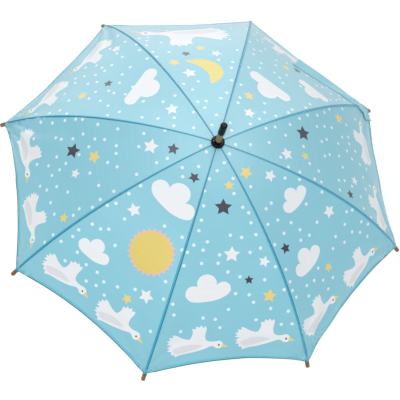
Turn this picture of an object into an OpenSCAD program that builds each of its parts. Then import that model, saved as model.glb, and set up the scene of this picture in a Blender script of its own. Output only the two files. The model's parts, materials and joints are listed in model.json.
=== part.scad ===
// Children's stick umbrella, open, with a curved wooden handle.
// Millimetres. +Z runs up the shaft to the ferrule, and the origin is the middle of the straight hand grip.
// Ribs are numbered anticlockwise seen from above, from rib 1 over +X. A gore lies between each rib and the next.
// Each rib hinges at the crown, each stretcher hinges under its rib, and the runner slides on the shaft.

/* [Canopy] */
// Length of one rib line from the centre of the crown to the hem corner
rib_len = 470; // [380:5:560]
// Share of the rib line inside the rib joint
inner_share = 0.45; // [0.35:0.01:0.55]
// Slope of the cloth at the crown, degrees below level
slope_crown = 1; // [0:0.5:6]
// Slope of the cloth at the rib joint, degrees below level
slope_joint = 20.5; // [14:0.5:28]
// Slope of the cloth at the hem corner, degrees below level
slope_hem = 51.5; // [40:0.5:60]
// How far the hem curves in between two corners
hem_dip = 18; // [0:1:40]
// Sag of the cloth between two ribs, as a share of the distance from the shaft
cloth_sag = 0.006; // [0:0.002:0.06]
// Thickness of the cloth panels
cloth_t = 0.6; // [0.4:0.1:1.5]

/* [Ribs and stretchers] */
// Radius of a rib wire
rib_r = 1.4; // [1:0.1:2]
// Depth of the rib wire's centre under the cloth
rib_drop = 3.4; // [3:0.1:5]
// Radius of a stretcher wire
stretcher_r = 1.35; // [1:0.05:2]
// Distance along the rib line of the stretcher's joint
bracket_s = 202; // [150:1:240]
// Depth of the stretcher's joint under the rib wire
bracket_drop = 4.4; // [4:0.1:7]
// Angle that a rib folds through from open to closed, degrees
fold_deg = 73.5; // [70:0.5:74]
// Radius of the small rivets
rivet_r = 0.9; // [0.7:0.05:1.2]

/* [Shaft and crown] */
// Radius of the wooden shaft
shaft_r = 6; // [4:0.25:8]
// Height of the top of the canopy above the middle of the grip
apex_h = 535; // [480:5:620]
// Radius of the wire rings that hold the ribs and the stretchers
ring_r = 10; // [9:0.5:13]
// Radius of the wire of those rings
wire_r = 0.8; // [0.6:0.05:1.2]
// Radius of the crown and of the runner's head
crown_r = 13; // [12:0.5:16]
// Height of the ferrule's tip above the top of the canopy
ferrule_top = 71; // [60:1:100]
// Radius of the ferrule cap
ferrule_r = 6.8; // [5:0.1:9]

/* [Runner] */
// Radius of the runner's tube
runner_r = 9.6; // [9:0.1:12]
// Length of the runner below its wire ring
runner_len = 44; // [30:1:60]
// Radius of the runner's running bore
runner_bore = 6.05; // [4.05:0.05:8.1]

/* [Handle] */
// Radius of the hand grip
grip_r = 9; // [7:0.5:12]
// Length of the straight part of the grip
grip_len = 90; // [70:5:120]
// Radius of the crook, at its centre line
crook_r = 38; // [28:1:50]

/* [Tips] */
// Radius of a wooden tip
tip_r = 4.1; // [3:0.1:6]
// Length of a wooden tip past the hem
tip_len = 16; // [10:1:25]

/* [Hidden] */
$fn = 48;
arc_fn = 360;
eps = 0.01;
n_ribs = 8;
pitch = 360 / n_ribs;

// The rib line: two arcs, tangent at the rib joint. It starts at the crown's centre.
s_joint = rib_len * inner_share;
R1 = s_joint / ((slope_joint - slope_crown) * PI / 180);
R2 = (rib_len - s_joint) / ((slope_hem - slope_joint) * PI / 180);
function nrm(a) = [sin(a), cos(a)];
c1 = -R1 * nrm(slope_crown);
p_joint = c1 + R1 * nrm(slope_joint);
c2 = p_joint - R2 * nrm(slope_joint);
function slope_at(s) = s < s_joint
    ? slope_crown + (s / R1) * 180 / PI
    : slope_joint + ((s - s_joint) / R2) * 180 / PI;
function line_at(s) = s < s_joint ? c1 + R1 * nrm(slope_at(s)) : c2 + R2 * nrm(slope_at(s));
function under(s, d) = line_at(s) - d * nrm(slope_at(s));

// Joint centres in a rib's own plane: [distance from the shaft's axis, height from the canopy's top].
p_crown = under(ring_r, rib_drop);
ring_c = p_crown[0];
p_flex = under(s_joint, rib_drop);
p_bracket = under(bracket_s, rib_drop + bracket_drop);
// The stretcher is as long as the rib's inner arm, so that the runner's ring stays under the crown's ring.
arm = norm(p_bracket - p_crown);
arm_slope = atan2(p_crown[1] - p_bracket[1], p_bracket[0] - p_crown[0]);
p_runner = [p_crown[0], 2 * p_bracket[1] - p_crown[1]];
closed_runner_z = p_crown[1] - 2 * arm * sin(arm_slope + fold_deg);

// Small fits and clearances
bore_r = rivet_r + 0.05;
eye_bore = wire_r + 0.1;
tang_t = 1.6;
flex_t = 1.4;
side_gap = 0.35;

// ---- helpers ----
// Puts a piece drawn in the X-Z plane, heights from the canopy's top, under rib k.
module at_rib(k) translate([0, 0, apex_h]) rotate([0, 0, (k - 1) * pitch]) children();

// A plate in the X-Z plane, t thick across the rib
module plate(t) rotate([90, 0, 0]) translate([0, 0, -t / 2]) linear_extrude(t) children();

// A cross rod at [x, z], from y0 to y1
module cross(p, r, y0, y1) translate([p[0], y0, p[1]]) rotate([-90, 0, 0]) cylinder(r = r, h = y1 - y0);

// A wire that follows an arc about c from slope a0 to a1
module arc_wire(c, R, a0, a1, r) translate([c[0], 0, c[1]]) rotate([90, 0, 0])
    rotate([0, 0, 90 - a1]) rotate_extrude(angle = a1 - a0, $fn = arc_fn) translate([R, 0]) circle(r = r, $fn = 32);

// A straight bar in the X-Z plane from p, pointing a degrees above level
module bar_2d(p, a, x0, x1, h) translate(p) rotate(a) translate([x0, -h / 2]) square([x1 - x0, h]);

function deg1(d) = d / R1 * 180 / PI;
function deg2(d) = d / R2 * 180 / PI;

// Ring of wire that the eyes turn on
module wire_ring() rotate_extrude($fn = 96) translate([ring_c, 0]) circle(r = wire_r, $fn = 24);

// Slots that let the eyes swing, cut from a head of radius crown_r
module head_slots(z0, z1) for (i = [0 : n_ribs - 1]) rotate([0, 0, i * pitch])
    translate([ring_c - 2.3, -1.6, z0]) cube([crown_r, 3.2, z1 - z0]);

// ---- shaft, crown and ferrule ----
module catch_pocket(z0) rotate([0, 0, pitch / 2]) translate([-1.4, -1.5, z0]) cube([9, 3, 29]);
top_catch_z = apex_h + p_runner[1] - runner_len - 24.5;
bottom_catch_z = apex_h + closed_runner_z - runner_len + 5.5;

module shaft() color([0.80, 0.62, 0.42]) difference() {
    union() {
        translate([0, 0, 17]) cylinder(r = shaft_r, h = apex_h + 40 - 17);
        translate([0, 0, apex_h + 40 - eps]) cylinder(r = 4.2, h = 22 + eps);
    }
    catch_pocket(top_catch_z - 3);
    catch_pocket(bottom_catch_z - 1);
}

module ferrule_cap() color([0.10, 0.10, 0.11]) translate([0, 0, apex_h + 40]) difference() {
    h = ferrule_top - 40;
    rotate_extrude() union() {
        square([ferrule_r, h - 3]);
        square([ferrule_r - 3, h]);
        translate([ferrule_r - 3, h - 3]) circle(r = 3);
    }
    translate([0, 0, -1]) cylinder(r = 4.2, h = 23);
}

module crown() color([0.86, 0.86, 0.84]) translate([0, 0, apex_h]) difference() {
    translate([0, 0, p_crown[1] - 5]) cylinder(r = crown_r, h = 5 + 2.3);
    translate([0, 0, -20]) cylinder(r = shaft_r, h = 30);
    head_slots(-20, 10);
}

module crown_wire() color([0.75, 0.75, 0.77]) translate([0, 0, apex_h + p_crown[1]]) wire_ring();

module crown_cap() color([0.13, 0.13, 0.15]) translate([0, 0, apex_h]) difference() {
    rotate_extrude() union() {
        translate([0, 0.4]) square([13, 3.1]);
        translate([0, 0.4]) square([10, 6.1]);
        translate([10, 3.5]) circle(r = 3);
        translate([0, 6]) square([8, 4]);
    }
    translate([0, 0, -1]) cylinder(r = shaft_r, h = 20);
}

module cap_pin() color([0.72, 0.70, 0.66]) translate([0, 0, apex_h + 8.2]) rotate([0, 0, 200])
    translate([6.6, 0, 0]) rotate([0, 90, 0]) cylinder(r = 0.7, h = 2.6);

// A leaf spring set in the shaft: its eye is at the bottom and its nose stands out at the top.
module catch_leaf() rotate([0, 0, pitch / 2]) rotate([90, 0, 0]) translate([0, 0, -1.2]) linear_extrude(2.4) union() {
    translate([3.2, 0]) circle(r = 1.5);
    polygon([[2.4, 0], [4.0, 0], [4.2, 15], [8.0, 21.5], [8.0, 24], [2.4, 24]]);
}

module top_catch() color([0.75, 0.75, 0.77]) translate([0, 0, top_catch_z]) catch_leaf();
module bottom_catch() color([0.75, 0.75, 0.77]) translate([0, 0, bottom_catch_z + 26]) mirror([0, 0, 1]) catch_leaf();

// ---- runner ----
module runner() color([0.86, 0.86, 0.84]) translate([0, 0, apex_h + p_runner[1]]) difference() {
    union() {
        translate([0, 0, -5]) cylinder(r = crown_r, h = 7.6);
        translate([0, 0, -runner_len]) cylinder(r = runner_r, h = runner_len);
        translate([0, 0, -runner_len]) cylinder(r = runner_r + 2, h = 4);
        translate([0, 0, -10]) cylinder(r1 = runner_r, r2 = crown_r - 1, h = 5);
    }
    translate([0, 0, -runner_len - 1]) cylinder(r = runner_bore, h = runner_len + 10);
    head_slots(-2.6, 10);
    rotate([0, 0, pitch / 2]) translate([0, -1.8, -runner_len - 1]) cube([8.4, 3.6, runner_len + 10]);
    rotate([0, 0, pitch / 2]) translate([0, -1.8, -runner_len + 7]) cube([20, 3.6, 12]);
}

module runner_wire() color([0.75, 0.75, 0.77]) translate([0, 0, apex_h + p_runner[1]]) wire_ring();

// ---- handle ----
module handle() color([0.62, 0.40, 0.22]) union() {
    difference() {
        translate([0, 0, -grip_len / 2]) cylinder(r = grip_r, h = grip_len);
        translate([0, 0, 17]) cylinder(r = shaft_r, h = grip_len);
    }
    translate([crook_r, 0, -grip_len / 2]) rotate([90, 0, 0]) rotate([0, 0, 180])
        rotate_extrude(angle = 180, $fn = 96) translate([crook_r, 0]) circle(r = grip_r);
    translate([2 * crook_r, 0, -grip_len / 2]) cylinder(r = grip_r, h = 18);
    translate([2 * crook_r, 0, -grip_len / 2 + 18]) sphere(r = grip_r);
}

module handle_collar() color([0.78, 0.70, 0.45]) translate([0, 0, grip_len / 2]) difference() {
    rotate_extrude() union() {
        square([grip_r - 0.1, 4]);
        square([grip_r - 0.8, 12]);
    }
    translate([0, 0, -1]) cylinder(r = shaft_r, h = 20);
}

// ---- ribs ----
module rib_inner(k) color([0.78, 0.79, 0.81]) at_rib(k) difference() {
    union() {
        arc_wire(c1, R1 - rib_drop, slope_crown + deg1(ring_r + 4), slope_joint - deg1(3.1), rib_r);
        plate(tang_t) {
            translate(p_crown) circle(r = 1.9);
            bar_2d(p_crown, -slope_at(ring_r) - 0.2, 0, 7, 2.6);
        }
        plate(tang_t) {
            translate(p_bracket) circle(r = 2.2);
            bar_2d(p_bracket, 90 - slope_at(bracket_s), 0, bracket_drop, 4.4);
        }
        plate(flex_t) {
            translate(p_flex) circle(r = 2);
            bar_2d(p_flex, 180 - slope_joint + 0.2, 0, 6, 2.6);
        }
    }
    cross(p_crown, eye_bore, -3, 3);
    cross(p_bracket, bore_r, -3, 3);
    cross(p_flex, bore_r, -3, 3);
}

module rib_outer(k) color([0.78, 0.79, 0.81]) at_rib(k) union() {
    cheek = flex_t / 2 + side_gap;
    arc_wire(c2, R2 - rib_drop, slope_joint + deg2(4), slope_hem + deg2(8), rib_r);
    difference() {
        plate(2 * cheek + 2) {
            translate(p_flex) circle(r = 2);
            bar_2d(p_flex, -slope_joint - 0.4, 0, 9, 3.4);
        }
        plate(2 * cheek) {
            translate(p_flex) circle(r = 2.5);
            translate(p_flex) rotate(-slope_joint) translate([-6, -6]) square([6, 12]);
        }
    }
    cross(p_flex, rivet_r, -cheek - 1.4, cheek + 1.4);
    cross(p_flex, rivet_r + 0.5, cheek + 1 - eps, cheek + 1.4);
    cross(p_flex, rivet_r + 0.5, -cheek - 1.4, -cheek - 1 + eps);
}

module stretcher(k) color([0.78, 0.79, 0.81]) at_rib(k) difference() {
    cheek = tang_t / 2 + side_gap;
    union() {
        translate([p_runner[0], 0, p_runner[1]]) rotate([0, 90 - arm_slope, 0]) translate([0, 0, 5])
            cylinder(r = stretcher_r, h = arm - 10.5);
        plate(tang_t) {
            translate(p_runner) circle(r = 1.9);
            bar_2d(p_runner, arm_slope, 0, 7, 2.4);
        }
        difference() {
            plate(2 * cheek + 2) {
                translate(p_bracket) circle(r = 2.2);
                bar_2d(p_bracket, 180 + arm_slope, 0, 9, 3);
            }
            plate(2 * cheek) {
                translate(p_bracket) circle(r = 2.9);
                translate(p_bracket) rotate(arm_slope) translate([0, -6]) square([6, 12]);
            }
        }
        cross(p_bracket, rivet_r, -cheek - 1.4, cheek + 1.4);
        cross(p_bracket, rivet_r + 0.5, cheek + 1 - eps, cheek + 1.4);
        cross(p_bracket, rivet_r + 0.5, -cheek - 1.4, -cheek - 1 + eps);
    }
    cross(p_runner, eye_bore, -3, 3);
}

// A turned wooden tip with a thread groove and a blind socket for the rib wire
module tip(k) color([0.62, 0.40, 0.24]) at_rib(k) {
    p = under(rib_len, rib_drop);
    translate([p[0], 0, p[1]]) rotate([0, 90 + slope_hem, 0]) difference() {
        rotate_extrude() union() {
            translate([0, -5]) square([2.4, 6]);
            translate([0, 0.6]) square([tip_r, tip_len - 2.6]);
            translate([0, 0.6]) square([tip_r - 2, tip_len - 0.6]);
            translate([tip_r - 2, tip_len - 2]) circle(r = 2);
        }
        translate([0, 0, -6]) cylinder(r = rib_r + 0.12, h = 14.2);
    }
}

// ---- canopy ----
// A point of the cloth: s along the rib lines, t from -1 on the first rib to 1 on the next, d above the cloth.
function cloth(s, t, d) =
    let (a = slope_at(s), p = line_at(s), half = p[0] * sin(pitch / 2),
         x = p[0] * cos(pitch / 2), sag = cloth_sag * p[0] * (1 - t * t))
    [x - sag * sin(a) + d * sin(a), t * half, p[1] - sag * cos(a) + d * cos(a)];
function hem_s(t) = rib_len - hem_dip * (1 - t * t);
// Share of a panel's half width that leaves gap clear beside the rib line at s
function edge_t(s, gap) = 1 - gap / (line_at(s)[0] * sin(pitch / 2));

// A closed slab on the cloth: rings of points above, then below, joined round the rim
module cloth_slab(pts_top, pts_low, nu, nv) {
    n = (nu + 1) * (nv + 1);
    function id(i, j) = i * (nv + 1) + j;
    faces = concat(
        [for (i = [0 : nu - 1], j = [0 : nv - 1]) each
            [[id(i, j), id(i, j + 1), id(i + 1, j + 1)], [id(i, j), id(i + 1, j + 1), id(i + 1, j)]]],
        [for (i = [0 : nu - 1], j = [0 : nv - 1]) each
            [[n + id(i, j), n + id(i + 1, j + 1), n + id(i, j + 1)], [n + id(i, j), n + id(i + 1, j), n + id(i + 1, j + 1)]]],
        [for (j = [0 : nv - 1]) each
            [[id(0, j), n + id(0, j), n + id(0, j + 1)], [id(0, j), n + id(0, j + 1), id(0, j + 1)],
             [id(nu, j), n + id(nu, j + 1), n + id(nu, j)], [id(nu, j), id(nu, j + 1), n + id(nu, j + 1)]]],
        [for (i = [0 : nu - 1]) each
            [[id(i, 0), n + id(i + 1, 0), n + id(i, 0)], [id(i, 0), id(i + 1, 0), n + id(i + 1, 0)],
             [id(i, nv), n + id(i, nv), n + id(i + 1, nv)], [id(i, nv), n + id(i + 1, nv), id(i + 1, nv)]]]);
    polyhedron(points = concat(pts_top, pts_low), faces = faces, convexity = 6);
}

gore_nu = 12;
gore_nv = 8;
gore_s0 = shaft_r + 1.2;
function gore_grid(d) = [for (i = [0 : gore_nu], j = [0 : gore_nv])
    let (t = 2 * j / gore_nv - 1, s = gore_s0 + (hem_s(t) - gore_s0) * i / gore_nu)
    cloth(s, t * edge_t(s, 0.3), d)];

module gore(k) color([0.60, 0.84, 0.91]) translate([0, 0, apex_h]) rotate([0, 0, (k - 0.5) * pitch])
    cloth_slab(gore_grid(0), gore_grid(-cloth_t), gore_nu, gore_nv);

// The band that ties the canopy. It lies across gore 2 from the first corner of its hem, resting on its inner edge.
strap_w = 29;
strap_lift = 8;
strap_nu = 3;
strap_nv = 9;
function strap_grid(d) = [for (i = [0 : strap_nu], j = [0 : strap_nv])
    let (q = j / strap_nv, t = -0.99 + 1.1 * q, s = 405 - 45 * q + strap_w * i / strap_nu)
    cloth(s, t, d + strap_lift * i / strap_nu)];

module strap() color([0.52, 0.80, 0.88]) translate([0, 0, apex_h]) rotate([0, 0, 1.5 * pitch])
    cloth_slab(strap_grid(1.4), strap_grid(0.3), strap_nu, strap_nv);

module rib_inner_1() rib_inner(1);
module rib_inner_2() rib_inner(2);
module rib_inner_3() rib_inner(3);
module rib_inner_4() rib_inner(4);
module rib_inner_5() rib_inner(5);
module rib_inner_6() rib_inner(6);
module rib_inner_7() rib_inner(7);
module rib_inner_8() rib_inner(8);
module rib_outer_1() rib_outer(1);
module rib_outer_2() rib_outer(2);
module rib_outer_3() rib_outer(3);
module rib_outer_4() rib_outer(4);
module rib_outer_5() rib_outer(5);
module rib_outer_6() rib_outer(6);
module rib_outer_7() rib_outer(7);
module rib_outer_8() rib_outer(8);
module stretcher_1() stretcher(1);
module stretcher_2() stretcher(2);
module stretcher_3() stretcher(3);
module stretcher_4() stretcher(4);
module stretcher_5() stretcher(5);
module stretcher_6() stretcher(6);
module stretcher_7() stretcher(7);
module stretcher_8() stretcher(8);
module tip_1() tip(1);
module tip_2() tip(2);
module tip_3() tip(3);
module tip_4() tip(4);
module tip_5() tip(5);
module tip_6() tip(6);
module tip_7() tip(7);
module tip_8() tip(8);
module gore_1() gore(1);
module gore_2() gore(2);
module gore_3() gore(3);
module gore_4() gore(4);
module gore_5() gore(5);
module gore_6() gore(6);
module gore_7() gore(7);
module gore_8() gore(8);

shaft();
ferrule_cap();
crown();
crown_wire();
crown_cap();
cap_pin();
top_catch();
bottom_catch();
runner();
runner_wire();
handle();
handle_collar();
rib_inner_1();
rib_inner_2();
rib_inner_3();
rib_inner_4();
rib_inner_5();
rib_inner_6();
rib_inner_7();
rib_inner_8();
rib_outer_1();
rib_outer_2();
rib_outer_3();
rib_outer_4();
rib_outer_5();
rib_outer_6();
rib_outer_7();
rib_outer_8();
stretcher_1();
stretcher_2();
stretcher_3();
stretcher_4();
stretcher_5();
stretcher_6();
stretcher_7();
stretcher_8();
tip_1();
tip_2();
tip_3();
tip_4();
tip_5();
tip_6();
tip_7();
tip_8();
gore_1();
gore_2();
gore_3();
gore_4();
gore_5();
gore_6();
gore_7();
gore_8();
strap();
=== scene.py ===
# Children's stick umbrella, open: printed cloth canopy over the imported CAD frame.
# Lengths are in millimetres until a mesh is written, and the row frame is in metres.
import json
import math
import random

import bpy
import numpy as np
from mathutils import Matrix, Vector
from mathutils.geometry import delaunay_2d_cdt


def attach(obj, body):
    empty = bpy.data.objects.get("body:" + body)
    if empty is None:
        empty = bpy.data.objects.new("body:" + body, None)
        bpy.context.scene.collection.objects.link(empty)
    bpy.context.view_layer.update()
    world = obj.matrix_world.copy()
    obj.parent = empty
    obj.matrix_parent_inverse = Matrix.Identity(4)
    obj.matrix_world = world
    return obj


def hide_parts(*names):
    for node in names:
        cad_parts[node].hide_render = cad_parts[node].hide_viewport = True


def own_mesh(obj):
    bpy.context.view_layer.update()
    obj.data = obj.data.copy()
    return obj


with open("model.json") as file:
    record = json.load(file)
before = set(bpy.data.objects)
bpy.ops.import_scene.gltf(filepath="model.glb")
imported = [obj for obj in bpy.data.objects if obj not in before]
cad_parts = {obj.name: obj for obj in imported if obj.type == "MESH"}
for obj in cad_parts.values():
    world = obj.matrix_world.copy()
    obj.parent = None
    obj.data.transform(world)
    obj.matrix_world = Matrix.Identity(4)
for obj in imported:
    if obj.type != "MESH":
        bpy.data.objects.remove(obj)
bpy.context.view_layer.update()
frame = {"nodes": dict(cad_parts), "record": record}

MM = 0.001
RIBS = 8
PITCH = 360.0 / RIBS
SIN_HALF = math.sin(math.radians(PITCH / 2))
COS_HALF = math.cos(math.radians(PITCH / 2))

# ---- the same numbers as part.scad ----
RIB_LEN = 470.0
S_JOINT = RIB_LEN * 0.45  # the rib joint, measured along the rib from the crown
SLOPE0, SLOPE1, SLOPE2 = 1.0, 20.5, 51.5  # the rib line's slope at the crown, at the joint and at the tip
RIB_DROP = 3.4  # the rib wire's centre below the cloth
APEX = 535.0  # height of the rib lines' common start
HEM_DIP = 18.0
CLOTH_SAG = 0.006
CLOTH_START = 7.2
INNER_RADIUS = S_JOINT / math.radians(SLOPE1 - SLOPE0)
OUTER_RADIUS = (RIB_LEN - S_JOINT) / math.radians(SLOPE2 - SLOPE1)


def outward(slope):
    """The direction away from the cloth, as (radial, up), where the rib line slopes down by slope degrees."""
    a = np.radians(slope)
    return np.stack([np.sin(a), np.cos(a)], -1)


INNER_CENTRE = -INNER_RADIUS * outward(SLOPE0)
OUTER_CENTRE = INNER_CENTRE + (INNER_RADIUS - OUTER_RADIUS) * outward(SLOPE1)


def slope_at(s):
    """The rib line's slope in degrees, s along it."""
    s = np.asarray(s, float)
    inner = SLOPE0 + np.degrees(s / INNER_RADIUS)
    outer = SLOPE1 + np.degrees((s - S_JOINT) / OUTER_RADIUS)
    return np.where(s < S_JOINT, inner, outer)


def line_at(s):
    """The rib line's point, as (radial, up from the apex), s along it."""
    s = np.asarray(s, float)
    n = outward(slope_at(s))
    inner = INNER_CENTRE + INNER_RADIUS * n
    outer = OUTER_CENTRE + OUTER_RADIUS * n
    return np.where((s < S_JOINT)[..., None], inner, outer)


def half_at(s):
    """Half the width of a gore, s along its ribs."""
    return line_at(s)[..., 0] * SIN_HALF


def hem_s(t):
    """How far down the cloth the hem lies: t is -1 on the gore's first rib and 1 on the next."""
    return RIB_LEN - HEM_DIP * (1 - np.asarray(t, float) ** 2)


def on_gore(k, u, v, d=0.0):
    """A point of gore k in the row frame, in metres: u across, v down the cloth, d above it."""
    u, v, d = np.broadcast_arrays(np.asarray(u, float), np.asarray(v, float), np.asarray(d, float))
    a, p = np.radians(slope_at(v)), line_at(v)
    half = p[..., 0] * SIN_HALF
    sag = CLOTH_SAG * p[..., 0] * (1 - (u / half) ** 2)
    x = p[..., 0] * COS_HALF + (d - sag) * np.sin(a)
    z = p[..., 1] + (d - sag) * np.cos(a)
    g = math.radians((k - 0.5) * PITCH)
    east = x * math.cos(g) - u * math.sin(g)
    north = x * math.sin(g) + u * math.cos(g)
    return np.stack([east, north, z + APEX], -1) * MM


# ---- the cloth's small folds ----
# How strongly the cloth pulls at each corner of each gore: (first rib's side, next rib's side)
CORNER = {
    1: (2.0, 2.0), 2: (1.8, 1.4), 3: (1.2, 1.6), 4: (1.8, 1.8),
    5: (3.9, 1.4), 6: (1.6, 2.2), 7: (2.2, 2.4), 8: (2.8, 2.2),
}
PULLS = 11.0  # folds in a radian round a corner
PULL_SWAY, PULL_SWAY_LEN = 0.8, 19.0
PULL_RISE = 24.0
PULL_REACH, PULL_REACH_MORE = 26.0, 9.0
PULL_CALM = 34.0  # the pulls die out this near the gore's middle line
PUCKER, PUCKER_LEN, PUCKER_REACH = 0.20, 2.3, 6.0
PUCKER_DRIFT, PUCKER_DRIFT_LEN = 0.7, 11.0
WAVE, WAVE_ACROSS, WAVE_ALONG = 0.55, 31.0, 63.0
FLUTE, FLUTE_ACROSS, FLUTE_REACH = 0.35, 17.0, 26.0
SEAM_HOLD = 4.0


def corner_pull(k, u, v, edge, phase):
    """Folds that fan out from the two corners of the gore."""
    below = np.maximum(RIB_LEN + 2 - v, 0.0)
    rho, phi = np.hypot(edge, below), np.arctan2(edge, below)
    amp = np.where(u < 0, CORNER[k][0], CORNER[k][1])
    reach = PULL_REACH + PULL_REACH_MORE * amp
    crest = np.sin(phi * PULLS + phase + PULL_SWAY * np.sin(rho / PULL_SWAY_LEN))
    calm = np.minimum(np.abs(u) / PULL_CALM, 1.0) ** 2
    return amp * crest * (rho / PULL_RISE) * np.exp(-rho / reach) * calm


def wrinkle(k, u, v):
    """Height of the small folds: pulls from corners, puckers by seams, a slow wave, flutes at the hem."""
    u, v = np.asarray(u, float), np.asarray(v, float)
    half = half_at(v)
    edge = np.maximum(half - np.abs(u), 0.0)
    phase = k * 1.7 + np.where(u < 0, 0, 1) * 2.3
    free = 1 - np.exp(-((edge / SEAM_HOLD) ** 2))
    drift = PUCKER_DRIFT * np.sin(v / PUCKER_DRIFT_LEN)
    pucker = PUCKER * np.sin(v / PUCKER_LEN + drift + phase) * np.exp(-edge / PUCKER_REACH)
    wave = WAVE * np.sin(u / WAVE_ACROSS + k * 1.3) * np.sin(v / WAVE_ALONG + k) * (v / RIB_LEN)
    to_hem = hem_s(u / np.maximum(half, 1)) - v
    flute = FLUTE * np.sin(u / FLUTE_ACROSS + k * 2.1) * np.exp(-to_hem / FLUTE_REACH)
    return free * (corner_pull(k, u, v, edge, phase) + pucker + wave + flute)


def share(x):
    """x kept between 0 and 1."""
    return min(1.0, max(0.0, x))


def cloth_point(k, u, v, d=0.0):
    """A point d above the folded cloth."""
    return on_gore(k, u, v, wrinkle(k, u, v) + d)


def level(v):
    """The height of a sheet that lies in the cloth's own surface."""
    return 0.0


def cloth_normal(k, u, v, lift=level):
    """The cloth's outward direction, for a sheet that lies lift(v) above its surface."""
    h = 0.6
    du = cloth_point(k, u + h, v, lift(v)) - cloth_point(k, u - h, v, lift(v))
    dv = cloth_point(k, u, v + h, lift(v + h)) - cloth_point(k, u, v - h, lift(v - h))
    n = np.cross(dv, du)
    return n / np.linalg.norm(n, axis=-1, keepdims=True)


# ---- colours and shader nodes ----
def linear(c):
    """One channel of an sRGB colour, from 0 to 255, as the linear value that shaders take."""
    c /= 255.0
    return c / 12.92 if c <= 0.04045 else ((c + 0.055) / 1.055) ** 2.4


def srgb(r, g, b):
    return (linear(r), linear(g), linear(b), 1.0)


def scaled(colour, factor):
    return tuple(min(1, c * factor) for c in colour[:3]) + (1,)


PURE = (1, 1, 1, 1)
DARK = (0, 0, 0, 1)


def material(name):
    m = bpy.data.materials.new(name)
    m.use_nodes = True
    t = m.node_tree
    t.nodes.clear()
    out = t.nodes.new("ShaderNodeOutputMaterial")
    b = t.nodes.new("ShaderNodeBsdfPrincipled")
    t.links.new(b.outputs[0], out.inputs[0])
    return m, t, b


def node(t, kind, **values):
    """A node with its sockets set by name; a name that starts with _ is one of the node's own settings."""
    n = t.nodes.new(kind)
    for key, value in values.items():
        if key.startswith("_"):
            setattr(n, key[1:], value)
        else:
            n.inputs[key.replace("_", " ")].default_value = value
    return n


def feed(t, socket, value):
    """Links a socket to another, or sets it to a constant."""
    if isinstance(value, bpy.types.NodeSocket):
        t.links.new(value, socket)
    else:
        socket.default_value = value


def mix(t, a, b, factor, kind="MIX"):
    n = t.nodes.new("ShaderNodeMix")
    n.data_type = "RGBA"
    n.blend_type = kind
    for socket, value in ((n.inputs[6], a), (n.inputs[7], b), (n.inputs[0], factor)):
        feed(t, socket, value)
    return n.outputs[2]


def math_node(t, op, a, b):
    n = t.nodes.new("ShaderNodeMath")
    n.operation = op
    feed(t, n.inputs[0], a)
    feed(t, n.inputs[1], b)
    return n.outputs[0]


def spread(t, value, amount, start):
    """start, and up to amount more where value is 1."""
    return math_node(t, "ADD", math_node(t, "MULTIPLY", value, amount), start)


def ramp(t, factor, low, low_colour, high, high_colour):
    """One colour below low, another above high, and a slope between them."""
    n = t.nodes.new("ShaderNodeValToRGB")
    first, last = n.color_ramp.elements
    first.position = low
    first.color = low_colour
    last.position = high
    last.color = high_colour
    t.links.new(factor, n.inputs[0])
    return n.outputs[0]


def bump(t, height, strength, distance, normal=None):
    n = node(t, "ShaderNodeBump", Strength=strength, Distance=distance)
    t.links.new(height, n.inputs["Height"])
    if normal is not None:
        t.links.new(normal, n.inputs["Normal"])
    return n.outputs[0]


def object_space(t):
    return node(t, "ShaderNodeTexCoord").outputs["Object"]


def noise(t, vector, scale, detail, **more):
    n = node(t, "ShaderNodeTexNoise", Scale=scale, Detail=detail, **more)
    t.links.new(vector, n.inputs["Vector"])
    return n.outputs["Fac"]


def drawn_out(t, vector, scale):
    """The same space with each axis scaled, so that noise comes out as streaks."""
    n = node(t, "ShaderNodeMapping", Scale=scale)
    t.links.new(vector, n.inputs["Vector"])
    return n.outputs[0]


def weave(t, vector, per_metre):
    """A plain weave: two sets of threads at right angles, each over the other in turn."""
    heights = []
    for axis in ("X", "Y"):
        w = node(t, "ShaderNodeTexWave", _bands_direction=axis, Scale=per_metre, Distortion=0.6, Detail=1.0)
        t.links.new(vector, w.inputs["Vector"])
        heights.append(w.outputs["Fac"])
    return math_node(t, "MULTIPLY", heights[0], heights[1])


# ---- materials ----
BASE = srgb(125, 188, 204)
BASE_DEEP = srgb(50, 158, 188)
THREAD = srgb(44, 124, 156)
# painted shade: this dark colour fills the seam band's groove in place of the shade there
SEAM_GROOVE_SHADE = srgb(24, 104, 132)
THREADS = 290.0  # waves of the weave in a metre
SHEEN_TINT = (0.93, 0.98, 1.0, 1)


def dyed(t, col, uv, pos):
    """Dye varies slowly, single threads are darker, and thicker weft leaves faint long bands."""
    weft = noise(t, drawn_out(t, uv, (5.0, 170.0, 1.0)), 1.0, 1.0)
    slow = noise(t, pos, 9.0, 3.0)
    slubs = noise(t, drawn_out(t, uv, (1400.0, 90.0, 1.0)), 1.0, 2.0)
    tones = (
        ramp(t, slow, 0.3, (0.955, 0.965, 0.97, 1), 0.7, PURE),
        ramp(t, slubs, 0.35, (0.965, 0.97, 0.975, 1), 0.65, PURE),
        ramp(t, weft, 0.35, (0.965, 0.982, 0.986, 1), 0.62, PURE),
    )
    for tone in tones:
        col = mix(t, col, tone, 1.0, "MULTIPLY")
    return col


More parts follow.
